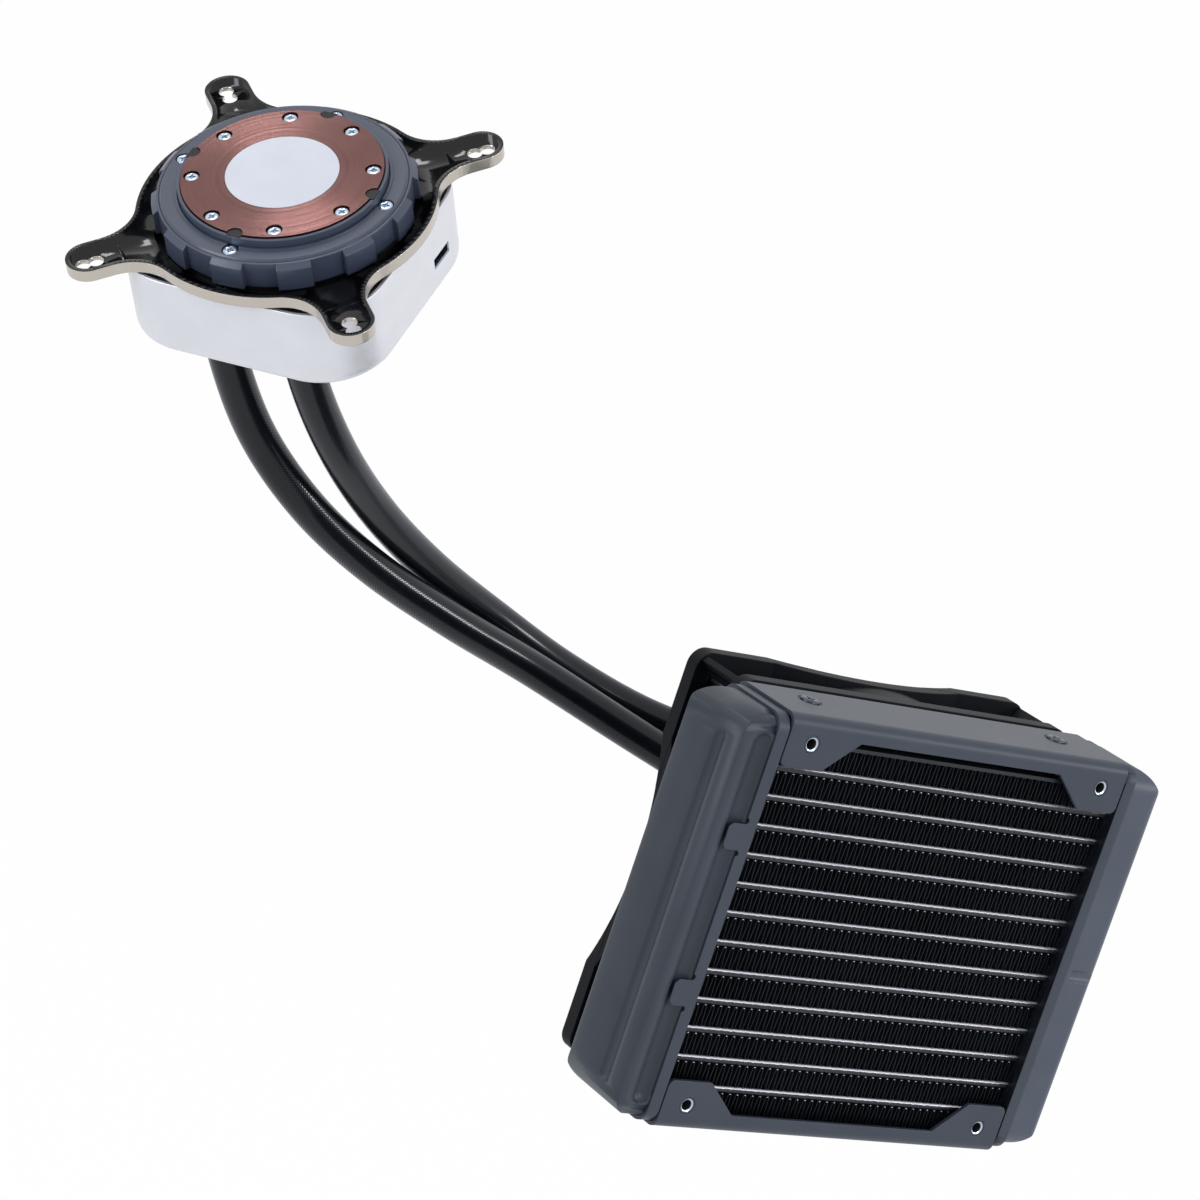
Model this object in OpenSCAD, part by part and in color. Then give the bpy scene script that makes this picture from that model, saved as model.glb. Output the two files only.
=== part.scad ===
// All-in-one liquid cooler: radiator with fan, two hoses and a pump head.
// Origin: centre of the four screw holes on the radiator's front face.
// X runs along the radiator, Y from the front face to the fan, Z up.

/* [Radiator core] */
// Length of the core between the two header plates
core_l = 122.6; // [112:0.2:134]
// Height over the two side plates
rad_h = 120; // [116:0.5:126]
// Depth of the radiator from front face to fan side
rad_d = 27; // [25:0.5:34]
// Number of flat tubes
tube_n = 12; // [10:1:12]
// Distance from tube to tube
tube_pitch = 8.4; // [8:0.05:8.6]
// Thickness of a flat tube
tube_t = 1.9; // [1.4:0.1:2.6]
// Distance of the core behind the front and rear faces
core_in = 3; // [2:0.5:5]
// How far the core sits below the middle of the screw holes
core_drop = 2.4; // [0:0.1:2.6]
// Length of one full wave of the fins
fin_wave = 5.2; // [4:0.1:8]

/* [Radiator ends] */
// Width of a header plate's rim
rim_w = 3.7; // [3:0.1:5]
// Wall of a header plate
header_t = 1.2; // [0.8:0.1:1.5]
// Length of a tank beyond the header rim
tank_l = 12; // [11:0.5:16]
// Wall of a tank
tank_t = 1.6; // [1.2:0.1:2.4]
// Corner radius of a tank seen from the front
tank_r = 11; // [6:0.5:11]
// Height of one crimp tab
crimp_h = 7.5; // [4:0.5:10]
// Distance between the two crimp tabs of a header
crimp_pitch = 45; // [30:1:60]

/* [Side plates] */
// Sheet thickness of a side plate
sheet_t = 1.2; // [0.8:0.1:1.5]
// Height of the folded flange
flange_h = 5.4; // [4.5:0.1:7]
// Height of a corner tab
tab_h = 14.5; // [11:0.5:16]
// Length of a corner tab at its free edge
tab_l = 14.2; // [12:0.2:18]
// Distance between the screw holes, both ways
hole_pitch = 105; // [103:0.5:106]
// Radius of the threaded holes
thread_r = 1.5; // [1.2:0.05:1.7]
// Outer radius of a threaded insert
insert_r = 2.45; // [2.1:0.05:2.9]

/* [Fan] */
// Side length of the fan
fan_w = 120; // [118:0.5:122]
// Depth of the fan
fan_d = 25; // [22:0.5:30]
// Thickness of the fan's flanges
fan_flange = 4.5; // [3:0.1:6]
// Inner radius of the duct
duct_r = 57.5; // [54:0.1:57.8]
// Number of blades
blade_n = 9; // [5:1:11]
// Gap between blade tips and duct
tip_gap = 1; // [0.6:0.1:3]
// Radius of the rotor hub
hub_r = 19.5; // [18:0.5:24]
// How deep the flange dips at the middle of each side
waist = 6.7; // [3:0.1:8]

/* [Hoses] */
// Outer radius of a hose
hose_r = 5.4; // [4.6:0.1:6]
// Distance between the two hose ends on the tank
port_pitch = 40; // [24:1:60]
// Distance between the two hose ends on the head
stem_pitch = 24; // [20:0.5:28]
// Length of a crimp ferrule
ferrule_l = 7; // [5:0.5:8]

/* [Pump head] */
// Side length of the skirt
skirt_w = 74.8; // [74:0.2:84]
// Corner radius of the skirt
skirt_r = 19; // [14:0.5:24]
// Height of the skirt
skirt_h = 23.7; // [23:0.1:30]
// Wall of the skirt
skirt_t = 1.1; // [0.8:0.1:2]
// Radius of the copper cold plate
plate_r = 27.1; // [25.5:0.1:27.4]
// Thickness of the cold plate
plate_t = 3.2; // [2.6:0.1:4]
// Radius of the thermal paste disc
paste_r = 15.2; // [10:0.1:20]
// Outer radius of the lock collar's teeth
collar_r = 35.5; // [35:0.1:36.5]
// Number of teeth on the lock collar
tooth_n = 12; // [6:1:16]
// Radius of the circle of plate screws
screw_ring_r = 24.2; // [23:0.1:24.4]
// Distance between neighbouring bracket slots
slot_pitch = 77.5; // [76:0.5:84]
// Half the width of a bracket arm
arm_w = 6.2; // [5:0.1:8]
// Outer radius of the bracket's ring
bracket_r = 40.5; // [39.5:0.1:43]
// Sheet thickness of the bracket
bracket_t = 1.3; // [1:0.1:1.5]
// Height of the bracket's raised edge over its underside
bracket_h = 3.4; // [2.6:0.1:3.6]

/* [Hidden] */
$fn = 64;

// Colours as the photograph shows them
coat = [0.30, 0.33, 0.38];
black = [0.11, 0.12, 0.14];
pale = [0.80, 0.81, 0.85];
steel = [0.66, 0.70, 0.76];
copper = [0.62, 0.41, 0.37];

// Running, sliding and seating clearances
run_gap = 0.05;
fit_gap = 0.1;
seat_gap = 0.3;

// Radiator, derived
half_h = rad_h / 2;
half_core = core_l / 2;
hole = hole_pitch / 2;
core_d = rad_d - 2 * core_in;
core_y = rad_d / 2;
rim_x = half_core + rim_w;
tank_x = rim_x + fit_gap;
end_x = tank_x + tank_l;
tank_in = 0.4;
tank_h = rad_h - 2.8;
foot_in = header_t + fit_gap;
bar_t = 1;
bead = 0.8;

// Fan, derived
fan_y = rad_d;
fan_back = fan_y + fan_d;
fan_mid = fan_w / 2;
blade_y = fan_y + 4;
blade_d = fan_d - 11;
mount_t = 2.4;
mount_y = fan_back - 0.6 - mount_t;
rotor_back = mount_y - 2;
hub_wall = 1.8;
shaft_r = 1.5;
sleeve_r = 3.4;
tube_wall = 1.5;
web_t = 1.8;
boss_r = 4;
boss_l = 5;
shaft_y = blade_y + 1;

// Pump head, derived. Heights run down from the copper face at 0.
head_at = [-182.6, 126.6, 149];
head_turn = [37.5, -7.25, -55.6];
skirt_top = -13.8;
skirt_low = skirt_top - skirt_h;
lip = 2.4;
lip_h = 2.6;
cap_t = 1.8;
cap_low = skirt_low + 0.6;
ring_top = -3;
ring_t = 3;
ring_in = 28.3;
ring_out = 33.2;
neck_r = 33.2;
collar_in = neck_r + fit_gap;
collar_top = ring_top - 0.6;
collar_low = -11.2;
valley_r = collar_r - 1.5;
bracket_low = collar_low - seat_gap - bracket_t;
tab_in = neck_r + 0.5;
deck_top = bracket_low - 0.6 - seat_gap;
deck_t = 2;
housing_r = 28;
post_r = 2.1;
post_foot = 1;
housing_low = cap_low + cap_t + 2.1;
stem_v = -22.5;
stem_low = skirt_low - 8.5;
stem_r = 4;
stem_bore = 2.8;
chamber_r = 15;
chamber_top = -8.6;
chamber_low = -16.4;
magnet_r = 8;
magnet_low = -26.5;
slot_r = 2.1;
lobe = 1.25;
port_v = 13.4;
port_z = -28.3;
port_w = 8.6;
port_h = 3.2;
port_l = 6;
board_t = 1.2;

// Route of each hose between its two fittings
route_a = [[-157, 142, 75], [-134, 142, 57], [-107, 143, 43], [-75, 144, 31], [-41, 144, 20],
    [-9, 136, 9], [21, 122, -1], [47, 101, -11], [64, 74, -18]];
route_b = [[-141, 127, 79], [-113, 140, 60], [-83, 150, 44], [-53, 155, 31], [-23, 153, 19],
    [6, 144, 11], [32, 127, 10], [52, 101, 13], [64, 71, 18]];
port_x = tank_x + 4;
port_y = rad_d - tank_in;
port_end = rad_d + 13;
foot_r = 6.4;
foot_t = 2.6;

// Shapes with true arcs

// Rectangle with its four corners rounded, centred
module round_rect(w, h, r) {
    square([w - 2 * r, h], center = true);
    square([w, h - 2 * r], center = true);
    for (x = [-1, 1], y = [-1, 1])
        translate([x * (w / 2 - r), y * (h / 2 - r)]) circle(r);
}

// Bar from x = 0 with the two corners at its far end rounded
module round_end(l, h, r) {
    translate([0, -h / 2]) square([l - r, h]);
    translate([0, r - h / 2]) square([l, h - 2 * r]);
    for (y = [-1, 1]) translate([l - r, y * (h / 2 - r)]) circle(r);
}

// Turn a flat drawing in X and Z into a plate from y0 to y1
module along_y(y0, y1) {
    translate([0, y1, 0]) rotate([90, 0, 0]) linear_extrude(y1 - y0) children();
}

// Turn a flat drawing in Y and Z into a bar from x0 to x1
module along_x(x0, x1) {
    translate([x0, 0, 0]) rotate([90, 0, 90]) linear_extrude(x1 - x0) children();
}

// Round piece along Y
module rod_y(x, y0, y1, z, r) {
    translate([x, y1, z]) rotate([90, 0, 0]) cylinder(h = y1 - y0, r = r);
}

// Box between two corners
module box(a, b) {
    translate(a) cube(b - a);
}

// At each corner hole of the radiator
module at_holes() {
    for (x = [-1, 1], z = [-1, 1]) translate([x * hole, 0, z * hole]) children();
}

// Into the pump head's own frame, copper side up
module in_head() {
    translate(head_at) rotate(head_turn) children();
}

// Ring between two heights
module ring(r_in, r_out, z0, z1) {
    translate([0, 0, z0]) difference() {
        cylinder(h = z1 - z0, r = r_out);
        translate([0, 0, -1]) cylinder(h = z1 - z0 + 2, r = r_in);
    }
}

// Radiator core

function tube_z(i) = (i - (tube_n - 1) / 2) * tube_pitch - core_drop;
row_h = tube_pitch - tube_t - 2 * run_gap;
core_top = tube_z(tube_n - 1) + tube_pitch - tube_t / 2;
core_low = tube_z(0) - tube_pitch + tube_t / 2;

module tube_outline(grow) {
    translate([core_y, 0]) {
        square([core_d - tube_t, tube_t + 2 * grow], center = true);
        for (s = [-1, 1]) translate([s * (core_d - tube_t) / 2, 0])
            circle(tube_t / 2 + grow, $fn = 16);
    }
}

module core_tubes() {
    color(steel)
    for (i = [0 : tube_n - 1]) translate([0, 0, tube_z(i)])
        along_x(-half_core - header_t - 0.6, half_core + header_t + 0.6) tube_outline(0);
}

// One corrugated strip, drawn in X and Z
fin_skin = 0.8;
fin_half = floor((core_l - 2 * seat_gap) / fin_wave);
fin_step = (core_l - 2 * seat_gap) / (2 * fin_half);
module fin_strip() {
    n = 2 * fin_half;
    a = (row_h - fin_skin) / 2;
    crest = [for (i = [0 : n]) [i * fin_step - half_core + seat_gap, i % 2 == 0 ? a : -a]];
    polygon(concat([for (p = crest) p + [0, fin_skin / 2]],
        [for (i = [n : -1 : 0]) crest[i] - [0, fin_skin / 2]]));
}

module core_fins() {
    color(black)
    for (i = [0 : tube_n]) translate([0, 0, tube_z(i) - tube_pitch / 2])
        along_y(core_in + 0.4, rad_d - core_in - 0.4) fin_strip();
}

// Thin bars that close the outer fin rows
module core_bars() {
    color(black) {
        box([-half_core, core_in, core_top], [half_core, rad_d - core_in, core_top + bar_t]);
        box([-half_core, core_in, core_low - bar_t], [half_core, rad_d - core_in, core_low]);
    }
}

// Headers and tanks, drawn for the +X end

module header_outline(inset) {
    translate([core_y, 0]) round_rect(rad_d - 2 * inset, rad_h - 1.6 - 2 * inset, 4.6 - inset);
}

module header() {
    difference() {
        along_x(half_core, rim_x) header_outline(0);
        along_x(half_core + header_t, rim_x + 1) header_outline(header_t);
        for (i = [0 : tube_n - 1]) translate([0, 0, tube_z(i)])
            along_x(half_core - 1, half_core + header_t + 1) tube_outline(run_gap);
    }
}

// Tab folded from the rim over the tank, with a relief cut on each side
module crimp_tab(z) {
    translate([rim_x, 0, z]) difference() {
        box([-1, 0, -crimp_h / 2], [5.2, tank_in - 0.1 + bead, crimp_h / 2]);
        box([0, tank_in - 0.1, -crimp_h], [6, 2, crimp_h]);
        for (s = [-1, 1]) translate([5.2, -1, s * crimp_h / 2]) rotate([0, 45, 0])
            cube([1.6, 4, 1.6], center = true);
    }
}

module header_left() {
    color(coat) mirror([1, 0, 0]) difference() {
        union() {
            header();
            for (s = [-1, 1]) crimp_tab(s * crimp_pitch / 2 + 2);
        }
        for (s = [-1, 1], e = [-1, 1])
            translate([rim_x, -1, s * crimp_pitch / 2 + 2 + e * (crimp_h / 2 + 0.9)])
            rotate([-90, 0, 0]) cylinder(h = 2.1, r = 0.8, $fn = 24);
    }
}

module header_right() {
    color(coat) header();
}

module tank_block(x0, x1, inset, shrink) {
    intersection() {
        translate([x0, 0, 0]) along_y(0, rad_d)
            round_end(x1 - x0, tank_h - 2 * inset, tank_r - shrink);
        along_x(x0, x1) translate([core_y, 0])
            round_rect(rad_d - 2 * tank_in - 2 * inset, tank_h - 2 * inset, 6.5 - shrink);
        translate([x0, core_y, -half_h]) linear_extrude(rad_h)
            round_end(x1 - x0, rad_d - 2 * tank_in - 2 * inset, 3.4 - shrink);
    }
}

module tank() {
    difference() {
        union() {
            tank_block(tank_x, end_x, 0, 0);
            along_x(half_core + header_t + fit_gap, tank_x + 1) header_outline(foot_in);
        }
        tank_block(half_core, end_x - tank_t, tank_t + 0.8, tank_t);
    }
}

// Left tank: a raised bead along its front edge, set off by a groove and a channel
module tank_left() {
    color(coat) mirror([1, 0, 0]) difference() {
        tank();
        for (s = [0 : 1]) translate([end_x + 0.7, 7.2, 0]) {
            translate([0, 0, -half_h + 12]) cylinder(h = rad_h - 24, r = 1.5, $fn = 32);
            translate([0, 0, (2 * s - 1) * (half_h - 12)]) sphere(r = 1.5, $fn = 32);
        }
        for (s = [-1, 1]) translate([tank_x + 3, -1.2, 0]) {
            translate([0, 0, -half_h + 10]) cylinder(h = rad_h - 20, r = 2.9, $fn = 48);
            translate([0, 0, s * (half_h - 10)]) sphere(r = 2.9, $fn = 48);
        }
    }
}

// Right tank: plain front with one pressed rib, and the two hose openings behind
module tank_right() {
    color(coat) difference() {
        tank();
        translate([tank_x + 2, -0.8, -4]) rotate([0, 90, 0]) cylinder(h = tank_l, r = 2.2, $fn = 32);
        for (s = [-1, 1]) rod_y(port_x, rad_d - 6, rad_d + 1, s * port_pitch / 2, stem_r + run_gap);
    }
}

// Folded side plates

plate_l = half_core - 0.5;
module plate_profile() {
    bend = 3;
    difference() {
        translate([core_y, half_h - flange_h]) {
            translate([-rad_d / 2, 0]) square([rad_d, flange_h - bend]);
            translate([bend - rad_d / 2, 0]) square([rad_d - 2 * bend, flange_h]);
            for (s = [-1, 1]) translate([s * (rad_d / 2 - bend), flange_h - bend]) circle(bend);
        }
        translate([core_y, half_h - flange_h]) {
            translate([sheet_t - rad_d / 2, -1])
                square([rad_d - 2 * sheet_t, flange_h - bend + 1]);
            translate([bend - rad_d / 2, -1])
                square([rad_d - 2 * bend, flange_h - sheet_t + 1]);
            for (s = [-1, 1]) translate([s * (rad_d / 2 - bend), flange_h - bend])
                circle(bend - sheet_t);
        }
    }
}

// Corner tab in X and Z, with its outer corner rounded
module tab_shape() {
    low = half_h - tab_h;
    top = half_h - flange_h + 0.5;
    r = 2;
    polygon([[plate_l, top], [plate_l, low + r], [plate_l - r, low],
        [plate_l - tab_l, low], [plate_l - tab_l - 11, top]]);
    translate([plate_l - r, low + r]) circle(r);
}

module side_plate() {
    difference() {
        union() {
            along_x(-plate_l, plate_l) plate_profile();
            for (y = [0, rad_d - sheet_t], s = [0, 1]) mirror([s, 0, 0])
                along_y(y, y + sheet_t) tab_shape();
        }
        for (s = [-1, 1]) rod_y(s * hole, -1, rad_d + 1, hole, insert_r + run_gap);
    }
}

rivet_x = 45;
rivet_y = 15.5;
module side_plate_top() {
    color(coat) difference() {
        side_plate();
        for (s = [-1, 1]) translate([s * rivet_x, rivet_y, half_h]) {
            translate([0, 0, -sheet_t - 1]) cylinder(h = sheet_t + 2, r = 1.6 + run_gap);
            translate([0, 0, -0.6]) cylinder(h = 1, r1 = 3, r2 = 4.2);
        }
    }
}

module side_plate_bottom() {
    color(coat) mirror([0, 0, 1]) side_plate();
}

module plate_rivets() {
    color(black)
    for (s = [-1, 1]) translate([s * rivet_x, rivet_y, half_h]) {
        translate([0, 0, -0.6]) cylinder(h = 0.5, r1 = 2.8, r2 = 2.3);
        translate([0, 0, -sheet_t]) cylinder(h = sheet_t, r = 1.6);
        translate([0, 0, -sheet_t - 1.6]) cylinder(h = 1.6, r = 2.2);
    }
}

// Inserts with a collar behind the tab, on both faces
module insert() {
    difference() {
        union() {
            rod_y(0, 0, 3, 0, insert_r);
            rod_y(0, sheet_t, 3, 0, insert_r + 0.8);
        }
        rod_y(0, -1, 4, 0, thread_r);
    }
}

module threaded_inserts() {
    color(steel) at_holes() {
        insert();
        translate([0, rad_d, 0]) mirror([0, 1, 0]) insert();
    }
}

// Hose ends and hoses

module stem(l, foot, foot_t) {
    difference() {
        union() {
            cylinder(h = l, r = stem_r);
            cylinder(h = foot_t, r = foot);
        }
        translate([0, 0, -1]) cylinder(h = l + 2, r = stem_bore);
    }
}

// The foot has a flat beside the header's rim
module tank_fitting(s) {
    color(black) difference() {
        translate([port_x, port_y, s * port_pitch / 2]) rotate([-90, 0, 0]) {
            stem(port_end - port_y, foot_r, foot_t);
            translate([0, 0, -3]) ring(stem_bore, stem_r, 0, 3);
        }
        translate([rim_x + run_gap, port_y - 1, s * port_pitch / 2 - foot_r])
            mirror([1, 0, 0]) cube([foot_r, foot_t + 2, 2 * foot_r]);
    }
}

module tank_fitting_a() {
    tank_fitting(-1);
}

module tank_fitting_b() {
    tank_fitting(1);
}

module head_stem(s) {
    color(black) in_head() translate([s * stem_pitch / 2, stem_v, housing_low]) mirror([0, 0, 1])
        stem(housing_low - stem_low, 5.4, housing_low - cap_low - cap_t);
}

module head_stem_a() {
    head_stem(-1);
}

module head_stem_b() {
    head_stem(1);
}

// Crimped sleeve with a rolled rim, from z = 0 down to the hose
module ferrule() {
    rotate_extrude() polygon([[stem_r + run_gap, 0], [hose_r + 0.6, 0], [hose_r + 1, -0.5],
        [hose_r + 1, -1.6], [hose_r + 0.6, -2.1], [hose_r + 0.6, 0.6 - ferrule_l],
        [hose_r + 0.2, -ferrule_l], [stem_r + run_gap, -ferrule_l]]);
}

module hose_ferrules() {
    color(black) {
        for (s = [-1, 1]) translate([port_x, port_end - ferrule_l, s * port_pitch / 2])
            rotate([90, 0, 0]) ferrule();
        in_head() for (s = [-1, 1])
            translate([s * stem_pitch / 2, stem_v, stem_low + ferrule_l]) ferrule();
    }
}

// A point of the head's frame, given in the part's frame
function spin_x(p, a) = [p.x, p.y * cos(a) - p.z * sin(a), p.y * sin(a) + p.z * cos(a)];
function spin_y(p, a) = [p.x * cos(a) + p.z * sin(a), p.y, p.z * cos(a) - p.x * sin(a)];
function spin_z(p, a) = [p.x * cos(a) - p.y * sin(a), p.x * sin(a) + p.y * cos(a), p.z];
function turned(p) = spin_z(spin_y(spin_x(p, head_turn.x), head_turn.y), head_turn.z);
function from_head(p) = turned(p) + head_at;

// Smooth curve through the route's points, two steps a span
function blend(a, b, c, d, t) = ((2 * b) + (c - a) * t + (2 * a - 5 * b + 4 * c - d) * t * t
    + (3 * b - a - 3 * c + d) * t * t * t) / 2;
function smooth(q) = [for (i = [1 : len(q) - 3], t = [0, 0.5]) blend(q[i - 1], q[i], q[i + 1],
    q[i + 2], t)];
function unit(v) = v / norm(v);

module hose(start, start_dir, route, finish, finish_dir) {
    q = concat([start - 30 * start_dir, start], route, [finish, finish + 30 * finish_dir]);
    path = concat(smooth(q), [finish]);
    n = len(path);
    sides = 10;
    dirs = [for (i = [0 : n - 1]) i == 0 ? start_dir : i == n - 1 ? finish_dir
        : unit(path[i + 1] - path[i - 1])];
    points = [for (i = [0 : n - 1]) let (u = unit(cross(dirs[i], [0, 0, 1])), v = cross(dirs[i], u))
        for (k = [0 : sides - 1]) path[i] + hose_r * (u * cos(360 * k / sides)
            + v * sin(360 * k / sides))];
    wall = [for (i = [0 : n - 2], k = [0 : sides - 1]) let (m = (k + 1) % sides)
        [i * sides + k, i * sides + m, (i + 1) * sides + m, (i + 1) * sides + k]];
    polyhedron(points, concat([[for (k = [sides - 1 : -1 : 0]) k]],
        [[for (k = [0 : sides - 1]) (n - 1) * sides + k]], wall), convexity = 6);
}

module hose_from(s, route) {
    hose(from_head([s * stem_pitch / 2, stem_v, stem_low]), turned([0, 0, -1]), route,
        [port_x, port_end, s * port_pitch / 2], [0, -1, 0]);
}

module hose_a() {
    color(black) hose_from(-1, route_a);
}

module hose_b() {
    color(black) hose_from(1, route_b);
}

// Fan

module fan_outline() {
    round_rect(fan_w, fan_w, 5);
}

// Shallow dip across the middle of each side, cut from the rear
module waist_cuts() {
    reach = 34;
    r = (reach * reach + waist * waist) / (2 * waist);
    for (a = [0 : 90 : 270]) rotate([0, a, 0])
        translate([duct_r - 8, fan_back - waist + r, 0]) rotate([0, 90, 0])
        cylinder(h = 20, r = r, $fn = 128);
}

// Diagonal web in each corner between the flanges
module corner_webs() {
    for (a = [0 : 90 : 270]) rotate([0, a + 45, 0])
        box([duct_r + 1, fan_y + 2, -web_t / 2], [fan_mid * sqrt(2) - 5, fan_back - 2, web_t / 2]);
}

module fan_frame() {
    color(black) {
        difference() {
            union() {
                along_y(fan_y, fan_y + fan_flange) fan_outline();
                along_y(fan_back - fan_flange, fan_back) fan_outline();
                rod_y(0, fan_y + 1, fan_back - 1, 0, fan_mid - 0.5);
                corner_webs();
            }
            rod_y(0, fan_y - 1, fan_back + 1, 0, duct_r);
            waist_cuts();
            at_holes() rod_y(0, fan_y - 1, fan_back + 1, 0, 2.15);
        }
        fan_mount();
    }
}

// Motor mount on four struts, with the bearing tube
module fan_mount() {
    difference() {
        union() {
            rod_y(0, mount_y, mount_y + mount_t, 0, hub_r);
            for (a = [45 : 90 : 315]) rotate([0, a, 0])
                box([hub_r - 2, mount_y - 0.6, -1.6], [duct_r + 1, mount_y + mount_t, 1.6]);
            rod_y(0, fan_y + 11, mount_y + 1, 0, sleeve_r + tube_wall);
        }
        rod_y(0, fan_y + 10, mount_y + 0.6, 0, sleeve_r + run_gap / 2);
    }
}

// One blade: a swept crescent that turns as it runs back
module blade() {
    tip = duct_r - tip_gap;
    n = 6;
    lead = [for (i = [0 : n]) let (t = i / n, r = hub_r - 1 + (tip - hub_r + 1) * t,
        a = 26 * t * t) r * [cos(a), sin(a)]];
    trail = [for (i = [n : -1 : 0]) let (t = i / n, r = hub_r - 1 + (tip - hub_r + 1) * t,
        a = 26 * t * t + 4.6 - 3 * t) r * [cos(a), sin(a)]];
    translate([0, blade_y + blade_d, 0]) rotate([90, 0, 0])
        linear_extrude(height = blade_d, twist = 30, slices = 5, $fn = 12)
        polygon(concat(lead, trail));
}

module fan_rotor() {
    color(black) difference() {
        union() {
            difference() {
                union() {
                    rod_y(0, blade_y - 1, rotor_back, 0, hub_r);
                    for (i = [0 : blade_n - 1]) rotate([0, i * 360 / blade_n, 0]) blade();
                }
                rod_y(0, blade_y + hub_wall, rotor_back + 1, 0, hub_r - hub_wall);
            }
            rod_y(0, blade_y, blade_y + boss_l, 0, boss_r);
        }
        rod_y(0, shaft_y, blade_y + boss_l + 1, 0, shaft_r);
    }
}

module fan_shaft() {
    color(steel) rod_y(0, shaft_y, mount_y + 0.3, 0, shaft_r);
}

module fan_magnet() {
    color([0.25, 0.24, 0.24]) difference() {
        rod_y(0, blade_y + hub_wall + 1.5, rotor_back - 0.5, 0, hub_r - hub_wall - fit_gap);
        rod_y(0, blade_y, rotor_back + 1, 0, hub_r - hub_wall - 2.6);
    }
}

module fan_bearing() {
    color([0.70, 0.56, 0.30]) difference() {
        rod_y(0, fan_y + 11, mount_y + 0.6, 0, sleeve_r);
        rod_y(0, fan_y + 10, mount_y + 1, 0, shaft_r + run_gap);
    }
}

// Four wound poles on a ring round the bearing tube
module fan_stator() {
    r0 = sleeve_r + tube_wall + fit_gap;
    r1 = hub_r - hub_wall - 3.4;
    color(copper) difference() {
        union() {
            rod_y(0, blade_y + 9, rotor_back - 3, 0, r0 + 1.6);
            for (a = [0 : 90 : 270]) rotate([0, a, 0]) {
                box([r0, blade_y + 9.4, -2], [r1 - 1.4, rotor_back - 3.4, 2]);
                intersection() {
                    rod_y(0, blade_y + 9, rotor_back - 3, 0, r1);
                    box([r1 - 1.6, blade_y + 8, -6.4], [r1 + 2, rotor_back, 6.4]);
                }
            }
        }
        rod_y(0, blade_y, rotor_back, 0, r0);
    }
}

module fan_board() {
    color([0.10, 0.28, 0.18]) difference() {
        rod_y(0, mount_y - board_t - 0.1, mount_y - 0.1, 0, hub_r - 4);
        rod_y(0, mount_y - 3, mount_y + 1, 0, sleeve_r + tube_wall + fit_gap);
    }
}

// Long screws from the fan's rear into the radiator's rear inserts
module fan_screws() {
    color(steel) at_holes() difference() {
        union() {
            rod_y(0, rad_d - 2.5, fan_back, 0, thread_r - run_gap);
            rod_y(0, fan_back, fan_back + 2.2, 0, 3.1);
        }
        for (a = [0, 90]) rotate([0, a, 0])
            box([-1.9, fan_back + 1.1, -0.45], [1.9, fan_back + 3, 0.45]);
    }
}

// Pump head, drawn copper side up

module skirt_shape(inset) {
    round_rect(skirt_w - 2 * inset, skirt_w - 2 * inset, skirt_r - inset);
}

module head_skirt() {
    color(pale) in_head() difference() {
        union() {
            translate([0, 0, skirt_low + lip_h]) linear_extrude(skirt_h - lip_h) skirt_shape(0);
            hull() {
                translate([0, 0, skirt_low + lip_h]) linear_extrude(0.1) skirt_shape(0);
                translate([0, 0, skirt_low]) linear_extrude(0.1) skirt_shape(lip - 1.2);
            }
        }
        translate([0, 0, skirt_low + lip_h]) linear_extrude(skirt_h) skirt_shape(skirt_t);
        translate([0, 0, skirt_low - 1]) linear_extrude(skirt_h) skirt_shape(lip);
        translate([skirt_w / 2, port_v, port_z])
            cube([3 * skirt_t, port_w + 2 * fit_gap, port_h + 2 * fit_gap], center = true);
    }
}

module head_cap() {
    color(black) in_head() translate([0, 0, cap_low]) difference() {
        linear_extrude(cap_t) skirt_shape(lip + fit_gap);
        for (s = [-1, 1]) translate([s * stem_pitch / 2, stem_v, -1])
            cylinder(h = cap_t + 2, r = stem_r + fit_gap);
    }
}

// Screw positions round the copper plate and the retainer ring
module at_plate_screws() {
    for (i = [0 : 7]) rotate(22.5 + 45 * i) translate([screw_ring_r, 0, 0]) children();
}

module at_ring_screws() {
    for (i = [0 : 3]) rotate(90 * i) translate([ring_in + 1.9, 0, 0]) children();
}

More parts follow.
